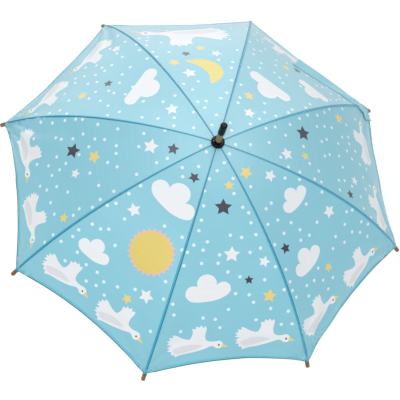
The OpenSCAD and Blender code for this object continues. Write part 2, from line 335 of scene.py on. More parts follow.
def cloth_material(name, colour=None, sheen=0.35, coat=0.42):
    """Fine cloth with a rain-proof finish. With no colour it takes the print from the mesh's own colours."""
    m, t, b = material(name)
    uv = node(t, "ShaderNodeUVMap", _uv_map="cloth").outputs[0]
    pos = object_space(t)
    if colour is None:
        col = node(t, "ShaderNodeVertexColor", _layer_name="print").outputs[0]
    else:
        rgb = node(t, "ShaderNodeRGB")
        rgb.outputs[0].default_value = colour
        col = rgb.outputs[0]
    t.links.new(dyed(t, col, uv, pos), b.inputs["Base Color"])
    b.inputs["Roughness"].default_value = 0.5
    b.inputs["Specular IOR Level"].default_value = 0.1
    b.inputs["Sheen Weight"].default_value = sheen
    b.inputs["Sheen Roughness"].default_value = 0.5
    b.inputs["Sheen Tint"].default_value = SHEEN_TINT
    b.inputs["Coat Weight"].default_value = coat
    b.inputs["Coat Roughness"].default_value = 0.45
    b.inputs["Coat IOR"].default_value = 1.9
    crumple = bump(t, noise(t, pos, 34.0, 4.0, Roughness=0.55), 0.16, 0.0022)
    t.links.new(bump(t, weave(t, uv, THREADS), 0.22, 0.00012, crumple), b.inputs["Normal"])
    return m


def wood_material(name, light, dark, along, rings, specular=0.5, coat=0.35):
    """Varnished wood: along is how far the grain is drawn out, and rings is its fineness."""
    m, t, b = material(name)
    stretched = drawn_out(t, object_space(t), (1, 1, along))
    grain = noise(t, stretched, rings, 6.0, Roughness=0.62, Distortion=0.8)
    pores = noise(t, stretched, rings * 9, 2.0)
    body = node(t, "ShaderNodeValToRGB")
    stops = body.color_ramp.elements
    stops.new(0.5)
    for stop, place, colour in zip(stops, (0.30, 0.52, 0.74), (dark, light, scaled(light, 1.1))):
        stop.position = place
        stop.color = colour
    t.links.new(grain, body.inputs[0])
    fine = ramp(t, pores, 0.36, (0.72, 0.66, 0.6, 1), 0.47, PURE)
    t.links.new(mix(t, body.outputs[0], fine, 0.75, "MULTIPLY"), b.inputs["Base Color"])
    t.links.new(spread(t, grain, 0.18, 0.26), b.inputs["Roughness"])
    b.inputs["Specular IOR Level"].default_value = specular
    b.inputs["Coat Weight"].default_value = coat
    b.inputs["Coat Roughness"].default_value = 0.22
    t.links.new(bump(t, pores, 0.12, 0.0002), b.inputs["Normal"])
    return m


def plastic_material(name, colour, rough, worn, specular=0.5):
    """Moulded plastic, a little paler where an edge has rubbed."""
    m, t, b = material(name)
    pos = object_space(t)
    slow = noise(t, pos, 60.0, 4.0)
    fine = noise(t, pos, 420.0, 3.0)
    tone = ramp(t, slow, 0.3, scaled(colour, 0.86), 0.7, colour)
    edge = node(t, "ShaderNodeNewGeometry").outputs["Pointiness"]
    rub = math_node(t, "MULTIPLY", ramp(t, edge, 0.52, DARK, 0.60, PURE), 0.12)
    t.links.new(mix(t, tone, worn, rub), b.inputs["Base Color"])
    t.links.new(spread(t, fine, 0.16, rough), b.inputs["Roughness"])
    b.inputs["Specular IOR Level"].default_value = specular
    t.links.new(bump(t, fine, 0.06, 0.0002), b.inputs["Normal"])
    return m


def metal_material(name, colour, rough):
    """Polished metal with dull spots and fine streaks."""
    m, t, b = material(name)
    pos = object_space(t)
    streak = noise(t, pos, 260.0, 4.0, Distortion=0.4)
    spots = noise(t, pos, 45.0, 5.0)
    t.links.new(ramp(t, spots, 0.32, scaled(colour, 0.72), 0.6, colour), b.inputs["Base Color"])
    b.inputs["Metallic"].default_value = 1.0
    t.links.new(spread(t, streak, 0.22, rough), b.inputs["Roughness"])
    t.links.new(bump(t, streak, 0.05, 0.0001), b.inputs["Normal"])
    return m


M_CLOTH = cloth_material("canopy_print")
M_BAND = cloth_material("canopy_band", BASE_DEEP)
M_THREAD = cloth_material("sewing_thread", THREAD, 0.1, 0.0)
# painted shade in the seam band's groove
M_SEAM_SHADE = cloth_material("seam_groove_painted_shade", SEAM_GROOVE_SHADE, 0.05, 0.0)
M_PLAIN = cloth_material("hem_cloth", srgb(100, 182, 199), 0.3, 0.2)
# painted shade: a dark strip along the hem's folded edge stands in for the shadow there
M_HEM_SHADE = cloth_material("hem_edge_painted_shade", srgb(14, 84, 106), 0.0, 0.0)
M_STRAP = cloth_material("strap_cloth", srgb(120, 191, 207), 0.4, 0.42)
M_SHAFT = wood_material("shaft_wood", srgb(132, 112, 76), srgb(88, 70, 44), 0.07, 95.0, 0.25)
M_HANDLE = wood_material("handle_wood", srgb(176, 122, 74), srgb(118, 74, 40), 0.35, 70.0)
M_TIP = wood_material("tip_wood", srgb(134, 96, 58), srgb(80, 53, 28), 0.35, 150.0, 0.2, 0.0)
M_BLACK = plastic_material("black_plastic", srgb(10, 13, 16), 0.05, srgb(40, 40, 44), 0.1)
M_WHITE = plastic_material("white_plastic", srgb(232, 233, 230), 0.34, srgb(250, 250, 248))
M_STEEL = metal_material("rib_steel", srgb(190, 192, 196), 0.28)
M_BRASS = metal_material("collar_metal", srgb(214, 184, 120), 0.2)

SLOT_MATERIAL = {
    "shaft_wood": M_SHAFT,
    "handle_wood": M_HANDLE,
    "tip_wood": M_TIP,
    "black_plastic": M_BLACK,
    "white_plastic": M_WHITE,
    "collar_metal": M_BRASS,
    "rib_steel": M_STEEL,
    "canopy_cloth": M_CLOTH,
    "strap_cloth": M_STRAP,
}
for row in frame["record"]["subparts"]:
    o = frame["nodes"][row["node"]]
    o.data.materials.clear()
    o.data.materials.append(SLOT_MATERIAL[row["material_slot"]])


# ---- mesh helpers ----
def new_mesh(name, points, faces, materials, indices=None):
    me = bpy.data.meshes.new(name)
    me.from_pydata([tuple(p) for p in points], [], [tuple(int(i) for i in f) for f in faces])
    for m in materials:
        me.materials.append(m)
    if indices is not None:
        me.polygons.foreach_set("material_index", np.asarray(indices, np.int32))
    me.polygons.foreach_set("use_smooth", np.full(len(me.polygons), True))
    me.update()
    o = bpy.data.objects.new(name, me)
    bpy.context.scene.collection.objects.link(o)
    return o


def loop_vertices(me):
    """The vertex of each face corner."""
    loops = np.zeros(len(me.loops), np.int32)
    me.loops.foreach_get("vertex_index", loops)
    return loops


def set_uv(o, uv):
    """uv: one pair for each vertex, in metres."""
    layer = o.data.uv_layers.new(name="cloth")
    layer.data.foreach_set("uv", np.asarray(uv, np.float32)[loop_vertices(o.data)].ravel())


class Build:
    """Gathers points and faces with a material index, for pieces made of many small parts."""

    def __init__(self):
        self.points = []
        self.faces = []
        self.mats = []

    def add(self, points, faces, mats):
        """mats: one material index for each face"""
        base = len(self.points)
        self.points.extend(tuple(map(float, q)) for q in points)
        self.faces.extend(tuple(int(i) + base for i in face) for face in faces)
        self.mats.extend(mats)

    def tube(self, rings, strips):
        """rings: array (rows, points round, 3), closed at both ends; strips: a material for each side face"""
        rows, n = rings.shape[:2]
        faces = []
        for i in range(rows - 1):
            for j in range(n):
                a, b = i * n + j, i * n + (j + 1) % n
                faces.append((a, a + n, b + n, b))
        mats = list(strips) * (rows - 1) + [0, 0]
        faces.append(tuple(range(n)))
        faces.append(tuple((rows - 1) * n + j for j in reversed(range(n))))
        self.add(rings.reshape(-1, 3), faces, mats)

    def stitch(self, a, b, up, radius):
        """One stitch: a short thread from a to b, tapered at both ends."""
        side = np.cross(b - a, up)
        side /= max(np.linalg.norm(side), 1e-12)
        up = up / max(np.linalg.norm(up), 1e-12)
        mid = (a + b) / 2
        around = [mid + (side * w + up * h) * radius for w, h in ((1, 0), (0, 1), (-1, 0), (0, -1))]
        faces = []
        for j in range(4):
            i0, i1 = 2 + j, 2 + (j + 1) % 4
            faces += [(0, i0, i1), (1, i1, i0)]
        self.add([a, b] + around, faces, [1] * len(faces))

    def object(self, name, materials):
        o = new_mesh(name, self.points, self.faces, materials, self.mats)
        set_uv(o, [q[:2] for q in self.points])
        return o


def inside(points, poly):
    """Which points lie in a polygon."""
    x, y = points[:, 0], points[:, 1]
    res = np.zeros(len(points), bool)
    for (x0, y0), (x1, y1) in zip(poly, list(poly[1:]) + [poly[0]]):
        if y0 != y1:
            res ^= ((y0 > y) != (y1 > y)) & (x < (x1 - x0) * (y - y0) / (y1 - y0) + x0)
    return res


# ---- the shapes of the print, in a gore's flat pattern: u to the right, v down towards the hem ----
WHITE = srgb(221, 223, 226)
PALE = srgb(207, 208, 212)
SNOW = srgb(208, 226, 232)
YELLOW = srgb(224, 197, 108)
SUNNY = srgb(211, 187, 88)
MOON = srgb(214, 198, 88)
PEACH = srgb(226, 172, 148)
INK = srgb(22, 28, 48)


def spline(points, steps=5):
    """A smooth closed outline through given points."""
    p = np.asarray(points, float)
    n = len(p)
    out = []
    for i in range(n):
        a, b, c, d = p[i - 1], p[i], p[(i + 1) % n], p[(i + 2) % n]
        for q in range(steps):
            t = q / steps
            square, cube = 2 * a - 5 * b + 4 * c - d, 3 * b - a - 3 * c + d
            out.append(0.5 * (2 * b + (c - a) * t + square * t * t + cube * t ** 3))
    return np.array(out)


def turned(shape, cu, cv, angle=0.0, scale=1.0):
    """The shape scaled, turned by angle degrees and moved to (cu, cv)."""
    a = math.radians(angle)
    r = np.array([[math.cos(a), -math.sin(a)], [math.sin(a), math.cos(a)]])
    return (np.asarray(shape, float) * scale) @ r.T + np.array([cu, cv])


def disc(r, n):
    angles = [2 * math.pi * i / n for i in range(n)]
    return np.array([[r * math.cos(a), r * math.sin(a)] for a in angles])


def star(r):
    """Five points, with the first towards the crown."""
    radii = [r, 0.5 * r] * 5
    angles = [math.pi * i / 5 for i in range(10)]
    return np.array([[q * math.sin(a), -q * math.cos(a)] for a, q in zip(angles, radii)])


def toothed(r, n=26):
    """A disc with n teeth round it."""
    radii = [r, 0.86 * r] * n
    angles = [math.pi * i / n for i in range(2 * n)]
    return np.array([[q * math.sin(a), q * math.cos(a)] for a, q in zip(angles, radii)])


# A fat moon that opens towards one corner of the gore
CRESCENT = spline([
    (38, 34), (25, 39), (10, 40), (-4, 37), (-16, 30), (-26, 19), (-31, 7), (-32, -7), (-29, -19), (-22, -29),
    (-13, -37), (-3, -41), (-2, -30), (-3, -18), (-1, -8), (3, 1), (8, 9), (14, 17), (22, 24)], 4)

# A plain flying bird: beak to the right, one wing up and one swept back under a fan of tail feathers
BIRD = spline([
    (45, -1), (39, -6), (31, -5), (22, -5), (14, -9), (12, -20), (14, -32), (12, -38), (8, -35), (4, -40),
    (1, -36), (-5, -38), (-6, -33), (-12, -33), (-11, -27), (-13, -18), (-18, -12), (-30, -15), (-40, -21),
    (-47, -23), (-47, -18), (-54, -18), (-52, -13), (-58, -11), (-54, -7), (-58, -3), (-50, -1), (-57, 4),
    (-52, 6), (-56, 11), (-49, 12), (-50, 18), (-44, 18), (-42, 24), (-35, 21), (-27, 19), (-14, 17),
    (0, 14), (12, 10), (22, 5), (28, 5), (33, 9), (39, 10), (45, 6)], 4)
BIRD_WING = spline([
    (8, 4), (-6, -1), (-24, -1), (-38, 3), (-47, 8), (-44, 14), (-36, 17), (-22, 14), (-6, 10)])
BIRD_BEAK = np.array([(42, 7.5), (44.6, 0.5), (56, 8.5)])
BIRD_EYE = (38, 3)
EYE_RADIUS = 1.9


def bird(cu, cv, angle=0.0, scale=1.0):
    eye = turned([BIRD_EYE], 0, 0, angle, scale)[0]
    return [
        (WHITE, turned(BIRD, cu, cv, angle, scale)),
        (PALE, turned(BIRD_WING, cu, cv, angle, scale)),
        (YELLOW, turned(BIRD_BEAK, cu, cv, angle, scale)),
        (INK, turned(disc(EYE_RADIUS, 8), cu, cv, angle, scale) + eye),
    ]


def cloud(cu, cv, width, angle):
    """A long rounded base with one lump towards the crown."""
    r = 0.14 * width
    h = width / 2 - r
    left = [[-h + r * math.cos(a), r * math.sin(a)] for a in np.linspace(math.pi / 2, 3 * math.pi / 2, 14)]
    right = [[h + r * math.cos(a), r * math.sin(a)] for a in np.linspace(-math.pi / 2, math.pi / 2, 14)]
    lump = disc(0.235 * width, 36) + np.array([-0.02 * width, -0.17 * width])
    return [(WHITE, turned(q, cu, cv, angle)) for q in (left + right, lump)]


BOWED_BASE = spline([
    (-50, 11), (-47, 21), (-38, 29), (-24, 32), (-5, 32), (15, 30), (32, 24), (45, 16), (50, 5), (34, 2),
    (0, -8), (-34, 6)])
BOWED_LUMPS = ((-0.33, 0.10, 0.17), (-0.02, -0.10, 0.22), (0.335, 0.04, 0.165))  # x, y, radius for width 1


def bowed_cloud(cu, cv, width, angle):
    """Three round lumps over a bowed base: small, large, small."""
    lumps = [disc(r * width, 36) + np.array([x, y]) * width for x, y, r in BOWED_LUMPS]
    return [(WHITE, turned(q, cu, cv, angle)) for q in [BOWED_BASE / 100 * width] + lumps]


STAR_GROW = 1.18


def stars(*rows):
    """Each row: colour, u, v, radius, angle."""
    return [(c, turned(star(r * STAR_GROW), u, v, a)) for c, u, v, r, a in rows]


PRINT = {
    1: stars((INK, 30, 200, 14.5, 20), (INK, -85, 305, 9, 10), (WHITE, -20, 150, 12, 5),
             (WHITE, -50, 330, 9, 30), (YELLOW, -20, 195, 8, 0), (YELLOW, 85, 315, 11, 15))
    + bird(60, 402, 2)
    + bird(-84, 410, 1),
    2: cloud(5, 213, 96, -2)
    + cloud(-60, 308, 74, 2)
    + stars((YELLOW, 20, 147, 10, 0), (WHITE, -5, 108, 11, 10), (YELLOW, 15, 320, 9, 20),
            (INK, -3, 347, 9, 0))
    + bird(60, 408, -2, 0.95),
    3: [(MOON, turned(CRESCENT, -8, 195))]
    + stars((WHITE, 27, 188, 13, 25), (WHITE, -38, 255, 10, 0), (YELLOW, 52, 225, 11, 10),
            (YELLOW, -10, 280, 9, 30), (INK, 23, 258, 9, 12))
    + bird(19, 362, 3, 1.8),
    4: cloud(-17, 215, 100, -8)
    + stars((WHITE, -5, 122, 12, 10), (WHITE, -85, 350, 10, 0), (INK, 5, 287, 9, 20),
            (YELLOW, 53, 318, 10, 5))
    + bird(-52, 404, 4, 1.02)
    + bird(80, 410, 5),
    5: stars((INK, -35, 300, 14, 10), (INK, 5, 92, 11, 0), (YELLOW, -10, 255, 12, 20),
             (YELLOW, 95, 335, 9, 0), (WHITE, 13, 300, 9, 15), (WHITE, -7, 136, 14, 5))
    + bird(-62, 414)
    + bird(76, 415),
    6: [(PEACH, turned(toothed(47), 35, 262)), (SUNNY, turned(disc(40, 48), 35, 262))]
    + bowed_cloud(8, 146, 98, 11)
    + bowed_cloud(-52, 327, 68, 6)
    + stars((WHITE, -39, 217, 12, 20), (WHITE, 76, 337, 13, 0), (YELLOW, 50, 366, 9, 15),
            (INK, 10, 91, 10, 5))
    + bird(-66, 410)
    + bird(66, 415, -3),
    7: bowed_cloud(-40, 296, 86, -1)
    + stars((INK, -3, 137, 15, 5), (INK, 38, 285, 8, 0), (WHITE, 7, 232, 14, 5),
            (WHITE, 68, 250, 10, 20), (YELLOW, 77, 320, 12, 10), (YELLOW, 12, 93, 9, 0))
    + bird(-58, 413, 1, 1.04)
    + bird(72, 408, 3, 1.04),
    8: bowed_cloud(23, 190, 66, 4)
    + bowed_cloud(-40, 298, 74, 4)
    + stars((WHITE, 62, 270, 12, 10), (WHITE, 20, 125, 11, 0), (INK, -62, 247, 10, 25),
            (YELLOW, -11, 353, 9, 0), (YELLOW, -10, 84, 12, 10))
    + bird(60, 418, 1)
    + bird(-78, 412, 3),
}

SNOW_SEED = 410
SNOW_FROM, SNOW_TO, SNOW_ROW = 40.0, 395, 23.0
SNOW_APART, SNOW_JITTER, SNOW_SHARE = 27, 8.5, 0.74
SNOW_CLEAR, SNOW_BETWEEN, SNOW_RADIUS = 8.5, 14, 3.4


def snow_fits(u, v, outlines, dots):
    """Whether a dot at (u, v) is clear of the other shapes, of the earlier dots and of the seams."""
    gap = min(float(np.min(np.hypot(*(poly - (u, v)).T))) for poly in outlines)
    covered = any(bool(inside(np.array([[u, v]]), poly)[0]) for poly in outlines)
    near = any(math.hypot(u - a, v - b) < SNOW_BETWEEN for a, b in dots)
    return gap > SNOW_CLEAR and not covered and not near and abs(u) < float(half_at(v)) - 1


def snow(k, motifs):
    """White dots over gore k by a seeded rule, clear of the other shapes."""
    rng = random.Random(SNOW_SEED + k)
    outlines = [poly for _, poly in motifs]
    dots = []
    v = SNOW_FROM
    while v < SNOW_TO:
        half = float(half_at(v))
        n = max(1, int(2 * half / SNOW_APART))
        for i in range(n):
            du = -half + (i + 0.5) * 2 * half / n + rng.uniform(-SNOW_JITTER, SNOW_JITTER)
            dv = v + rng.uniform(-SNOW_JITTER, SNOW_JITTER)
            keep = rng.random() < SNOW_SHARE
            if keep and snow_fits(du, dv, outlines, dots):
                dots.append((du, dv))
        v += SNOW_ROW
    return [(SNOW, turned(disc(SNOW_RADIUS, 14), *dot)) for dot in dots]


# ---- the gores ----
THICK = 0.45
UNDER = 8.0  # the outer panel runs this far under the inner one at the rib joint
UNDER_STEP = 1.2  # the outer panel steps down over this length
UNDER_DEPTH = 0.9
GRID_U, GRID_V = 9.0, 7.8
GRID_GAP = 3.0


def under_drop(v):
    """How far the outer panel lies below the cloth's surface, as a height: 0 beyond the rib joint."""
    q = np.clip((S_JOINT - np.asarray(v, float)) / UNDER_STEP, 0, 1)
    return -UNDER_DEPTH * q * q * (3 - 2 * q)


def outline():
    """The edge of a gore's flat shape: down one seam, along the hem and up the other."""
    v = np.concatenate([np.linspace(CLOTH_START, S_JOINT, 34)[:-1], np.linspace(S_JOINT, RIB_LEN, 46)])
    left = np.stack([-half_at(v), v], -1)
    t = np.linspace(-1, 1, 65)[1:-1]
    s = hem_s(t)
    hem = np.stack([t * half_at(s), s], -1)
    right = np.stack([half_at(v[::-1]), v[::-1]], -1)
    return np.concatenate([left, hem, right])


EDGE = outline()


def fixed_lines(motifs):
    """The points and edges that the triangles keep to: the gore's edge, middle, joint lines and print."""
    pts, edges = [], []

    def draw(line, closed):
        base, n = len(pts), len(line)
        pts.extend(map(tuple, line))
        edges.extend((base + i, base + (i + 1) % n) for i in range(n if closed else n - 1))

    draw(EDGE, True)
    draw([(0.0, v) for v in np.linspace(CLOTH_START, float(hem_s(0)), 60)], False)
    for v in (S_JOINT, S_JOINT - UNDER_STEP, S_JOINT - UNDER):
        half = float(half_at(v))
        draw([(u, v) for u in np.linspace(-half, half, 25)], False)
    for _, poly in motifs:
        draw(poly, True)
    return pts, edges


def grid_points(fixed):
    """Points in staggered rows over the gore, clear of the fixed lines."""
    grid = []
    shift = 0.0
    v = CLOTH_START + 8
    while v < RIB_LEN:
        half = float(half_at(v))
        grid.extend((u, v) for u in np.arange(-half + 3 + shift, half - 2, GRID_U))
        v += GRID_V
        shift = GRID_U / 2 - shift
    grid = np.array(grid)
    grid = grid[inside(grid, EDGE)]
    gap = np.array([np.min(np.hypot(*(fixed - g).T)) for g in grid])
    return grid[gap > GRID_GAP]


def triangulate(motifs):
    """Cuts a gore's flat shape along every outline of the print, and gives points, triangles and colours."""
    pts, edges = fixed_lines(motifs)
    pts.extend(map(tuple, grid_points(np.array(pts))))
    verts, _, faces, *_ = delaunay_2d_cdt([Vector(p) for p in pts], edges, [], 0, 0.004)
    p = np.array([tuple(q) for q in verts])
    f = np.array([tuple(q) for q in faces if len(q) == 3])
    a, b, c = p[f[:, 0]], p[f[:, 1]], p[f[:, 2]]
    area = ((b - a)[:, 0] * (c - a)[:, 1] - (b - a)[:, 1] * (c - a)[:, 0]) / 2
    f = np.where((area < 0)[:, None], f[:, ::-1], f)
    mid = (a + b + c) / 3
    keep = (np.abs(area) > 1e-4) & inside(mid, EDGE)
    f, mid, area = f[keep], mid[keep], np.abs(area[keep])
    colour = np.tile(np.array(BASE), (len(f), 1))
    for col, poly in motifs:
        colour[inside(mid, poly)] = col
    return p, f, mid, area, colour


def rim_edges(triangles):
    """The edges that only one triangle uses, in that triangle's own direction."""
    rim = {}
    for t in triangles:
        for i in range(3):
            a, b = int(t[i]), int(t[(i + 1) % 3])
            if (b, a) in rim:
                del rim[(b, a)]
            else:
                rim[(a, b)] = True
    return list(rim)


def panel_normals(k, u, v, outer):
    """Smooth outward directions that run on from panel to panel."""
    n = cloth_normal(k, u, v)
    if outer:
        n = np.where((v < S_JOINT - 0.1)[:, None], cloth_normal(k, u, v, under_drop), n)
    return n


PRINT_SHARE_BELOW = 0.45  # how much of the print shows through on the underside


def paint(me, col, faces, rim_count):
    """The print on top, a paler one below, and plain cloth at the rim."""
    below = PRINT_SHARE_BELOW * col + (1 - PRINT_SHARE_BELOW) * np.array(BASE)
    face_colour = np.concatenate([col, below, np.tile(np.array(BASE), (rim_count, 1))])
    counts = [len(q) for q in faces]
    layer = me.color_attributes.new("print", "FLOAT_COLOR", "CORNER")
    layer.data.foreach_set("color", np.repeat(face_colour, counts, axis=0).astype(np.float32).ravel())


def panel(name, k, side, outer, flat):
    """One quarter of a gore as a closed sheet: side -1 hangs on the gore's first rib, side 1 on the next."""
    p, f, mid, area, colour = flat
    pick = (mid[:, 0] * side > 0) & ((mid[:, 1] > S_JOINT - UNDER) if outer else (mid[:, 1] < S_JOINT))
    size = float(area[pick].sum())
    used, tri = np.unique(f[pick], return_inverse=True)
    tri = tri.reshape(-1, 3)
    u, v = p[used, 0], p[used, 1]
    off = under_drop(v) if outer else 0.0
    top, low = cloth_point(k, u, v, off), cloth_point(k, u, v, off - THICK)
    n = len(used)
    # seen from outside, u runs to the left as v runs down, so the flat triangles turn over
    up = tri[:, ::-1]
    sides = [(b, a, a + n, b + n) for a, b in rim_edges(up)]
    faces = [tuple(t) for t in up] + [tuple(t + n) for t in tri] + sides
    o = new_mesh(name, np.concatenate([top, low]), faces, [M_CLOTH])
    flat_uv = np.stack([u, v], -1) * MM
    set_uv(o, np.concatenate([flat_uv, flat_uv]))
    paint(o.data, colour[pick], faces, len(sides))
    n_top = panel_normals(k, u, v, outer)
    normals = np.concatenate([n_top, -n_top])[loop_vertices(o.data)]
    normals[3 * 2 * len(tri):] = 0.0  # the rim keeps its own directions
    o.data.normals_split_custom_set([tuple(q) for q in normals])
    return o, size * MM * MM


def rib_frame(rib):
    """The directions outwards along the rib, across it and up."""
    g = math.radians((rib - 1) * PITCH)
    along = np.array([math.cos(g), math.sin(g), 0.0])
    across = np.array([-math.sin(g), math.cos(g), 0.0])
    return along, across, np.array([0.0, 0.0, 1.0])


def fold_up(o):
    """Gives the piece a mesh of its own."""
    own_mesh(o)


# ---- hems and seams ----
# (how far in from the hem, height) round the hem's fold, and the material of each strip: cloth, or a dark
# line of painted shade along the fold's edge
HEM_PROFILE = [
    (-0.5, -0.25), (-0.35, 0.2), (1.7, 0.44), (3.2, 0.34), (5.4, 0.42), (6.1, 0.05), (6.1, -0.5),
    (5.4, -0.85), (0.4, -0.9), (-0.35, -0.65)]
HEM_STRIPS = [2, 2, 0, 0, 0, 0, 0, 0, 0, 2]
HEM_ROWS = 42
HEM_END = 0.993  # the hem stops short of the rib, under the tip's tie
HEM_STITCH = 0.018  # one stitch and its gap, as a share of half the hem
HEM_STITCH_IN, HEM_STITCH_HEIGHT = 5.0, 0.42
HEM_THREAD = 0.26 * MM


def hem_point(k, t, inset, d):
    """A point d above the cloth, inset in from the hem."""
    v = float(hem_s(t)) - inset
    return cloth_point(k, np.array(t * float(half_at(v))), np.array(v), d)


def hem_up(k, t):
    v = float(hem_s(t)) - HEM_STITCH_IN
    return cloth_normal(k, np.array(t * float(half_at(v))), np.array(v))


def hem_piece(k, side):
    b = Build()
    t0, t1 = (-HEM_END, 0.0) if side < 0 else (0.0, HEM_END)
    rings = [[hem_point(k, t, inset, d) for inset, d in HEM_PROFILE] for t in np.linspace(t0, t1, HEM_ROWS)]
    b.tube(np.array(rings), HEM_STRIPS)
    for i in range(int((t1 - t0) / HEM_STITCH)):
        start, end = t0 + (i + 0.12) * HEM_STITCH, t0 + (i + 0.86) * HEM_STITCH
        ends = [hem_point(k, t, HEM_STITCH_IN, HEM_STITCH_HEIGHT) for t in (start, end)]
        b.stitch(*ends, hem_up(k, end), HEM_THREAD)
    return b.object(f"hem_{k}_{SIDES[side]}", [M_PLAIN, M_BAND, M_HEM_SHADE])


def seam_point(rib, e, v, d):
    """A point e to one side of the rib line: on the gore before the rib for e below 0, on the next above."""
    before = (rib - 2) % RIBS + 1
    half = float(half_at(v))
    if abs(e) < 1e-6:
        return (on_gore(rib, -half, v, d) + on_gore(before, half, v, d)) / 2
    return on_gore(rib, -half + e, v, d) if e > 0 else on_gore(before, half + e, v, d)


# (across, height) round the seam's band, and the material of each strip: band, or a dark line of painted
# shade in the band's groove
SEAM_PROFILE = [
    (-3.1, 0.0), (-2.8, 0.40), (-1.2, 0.62), (0.6, 0.66), (0.85, 0.36), (1.65, 0.36), (1.9, 0.60),
    (2.8, 0.40), (3.1, 0.0), (2.8, -0.3), (0.0, -0.3), (-2.8, -0.3)]
SEAM_STRIPS = [0, 0, 0, 2, 2, 2, 0, 0, 0, 0, 0, 0]
SEAM_STITCH, SEAM_STITCH_LEN = 3.3, 2.5
SEAM_STITCH_SIDE, SEAM_STITCH_HEIGHT = -1.1, 0.62
SEAM_THREAD = 0.28 * MM
SEAM_PUCKER, SEAM_PUCKER_LEN = 0.18, 2.1
SEAM_DROP, SEAM_DROP_LEN = 0.35, 1.5  # the outer band steps down under the inner one
SEAM_NARROW = 0.42  # the band's width at the crown, for 1 further down
SEAM_WIDEN_FROM, SEAM_WIDEN_LEN = 20.0, 220.0
SEAM_INNER = (11.0, S_JOINT, 40)  # start and end along the rib, and rows
SEAM_OUTER = (S_JOINT - 5, RIB_LEN + 1.5, 54)


def seam_ring(rib, s, outer):
    """The band's outline at s: narrow towards the crown, low under the inner band, puckered by stitches."""
    drop = SEAM_DROP * share((S_JOINT - s) / SEAM_DROP_LEN) if outer else 0.0
    narrow = SEAM_NARROW + (1 - SEAM_NARROW) * share((s - SEAM_WIDEN_FROM) / SEAM_WIDEN_LEN)
    ring = []
    for e, d in SEAM_PROFILE:
        height = d if d < 0 else d * (1 + SEAM_PUCKER * math.sin(s / SEAM_PUCKER_LEN + e))
        ring.append(seam_point(rib, e * narrow, s, height - drop))
    return ring


def seam_up(rib, e, s):
    here = seam_point(rib, e, s, 0.6)
    return np.cross(seam_point(rib, e, s + 1, 0.6) - here, seam_point(rib, e + 0.5, s, 0.6) - here)


def seam_piece(rib, outer):
    b = Build()
    s0, s1, rows = SEAM_OUTER if outer else SEAM_INNER
    b.tube(np.array([seam_ring(rib, s, outer) for s in np.linspace(s0, s1, rows)]), SEAM_STRIPS)
    s = s0 + 6
    while s + SEAM_STITCH_LEN < s1 - 2:
        ends = [seam_point(rib, SEAM_STITCH_SIDE, q, SEAM_STITCH_HEIGHT) for q in (s, s + SEAM_STITCH_LEN)]
        b.stitch(*ends, seam_up(rib, SEAM_STITCH_SIDE, s), SEAM_THREAD)
        s += SEAM_STITCH
    return b.object(f"seam_{rib}_{'out' if outer else 'in'}", [M_BAND, M_THREAD, M_SEAM_SHADE])


# ---- the cloth's corners, tied to the tips ----
# Rings of the gathered cloth: place along the tip, half width, half height, centre's height, gathers' depth
TIE_ROWS = [
    (0.7, 2.9, 2.9, 0.0, 0.10), (0.2, 3.3, 3.3, 0.0, 0.12), (-0.8, 3.0, 3.0, 0.0, 0.10),
    (-2.2, 2.95, 2.95, 0.05, 0.06), (-3.6, 3.2, 3.1, 0.2, 0.08), (-5.0, 3.2, 3.2, 0.4, 0.10),
    (-7.0, 3.3, 3.1, 0.7, 0.09), (-9.5, 3.2, 2.6, 1.1, 0.06), (-12.0, 2.6, 1.6, 1.7, 0.03),
    (-14.0, 1.6, 0.7, 2.2, 0.0)]
TIE_ROUND, TIE_GATHERS = 28, 7
THREAD_TURNS, THREAD_START, THREAD_PITCH = 4, -2.9, 0.52
THREAD_RING, THREAD_RADIUS = 3.12, 0.3
THREAD_ROUND, THREAD_SIDES = 20, 6


def tip_point(rib, x, y, h):
    """x along the wooden tip from the hem corner, y across the rib, h outwards from the wire's centre."""
    er, et, ez = rib_frame(rib)
    a = math.radians(SLOPE2)
    axis = math.cos(a) * er - math.sin(a) * ez
    up = math.sin(a) * er + math.cos(a) * ez
    p = line_at(RIB_LEN)
    origin = p[0] * er + (p[1] + APEX) * ez - RIB_DROP * up
    return (origin + axis * x + et * y + up * h) * MM


def tie_ring(rib, x, half_width, half_height, centre, depth):
    ring = []
    for j in range(TIE_ROUND):
        a = 2 * math.pi * j / TIE_ROUND
        q = 1 + depth * math.cos(TIE_GATHERS * a + rib)
        ring.append(tip_point(rib, x, half_width * q * math.sin(a), centre + half_height * q * math.cos(a)))
    return ring


def thread_ring(rib, turn):
    """Points of one turn of thread, a small torus that leans a little."""
    ring = []
    for j in range(THREAD_ROUND):
        a = 2 * math.pi * j / THREAD_ROUND
        x = THREAD_START + THREAD_PITCH * turn + 0.1 * math.sin(a + turn)
        for q in range(THREAD_SIDES):
            w = 2 * math.pi * q / THREAD_SIDES
            r = THREAD_RING + THREAD_RADIUS * math.cos(w)
            ring.append(tip_point(rib, x + THREAD_RADIUS * math.sin(w), r * math.sin(a), r * math.cos(a)))
    return ring


def torus_faces(rows, n):
    faces = []
    for j in range(rows):
        for q in range(n):
            a0, a1 = j * n + q, j * n + (q + 1) % n
            b0, b1 = (j + 1) % rows * n + q, (j + 1) % rows * n + (q + 1) % n
            faces.append((a0, a1, b1, b0))
    return faces


def corner_piece(rib):
    """The gathered corner of the cloth, bound to the neck of the tip with thread."""
    b = Build()
    b.tube(np.array([tie_ring(rib, *row) for row in TIE_ROWS]), [0] * TIE_ROUND)
    faces = torus_faces(THREAD_ROUND, THREAD_SIDES)
    for turn in range(THREAD_TURNS):
        b.add(thread_ring(rib, turn), faces, [1] * len(faces))
    return b.object(f"tip_tie_{rib}", [M_PLAIN, M_THREAD])


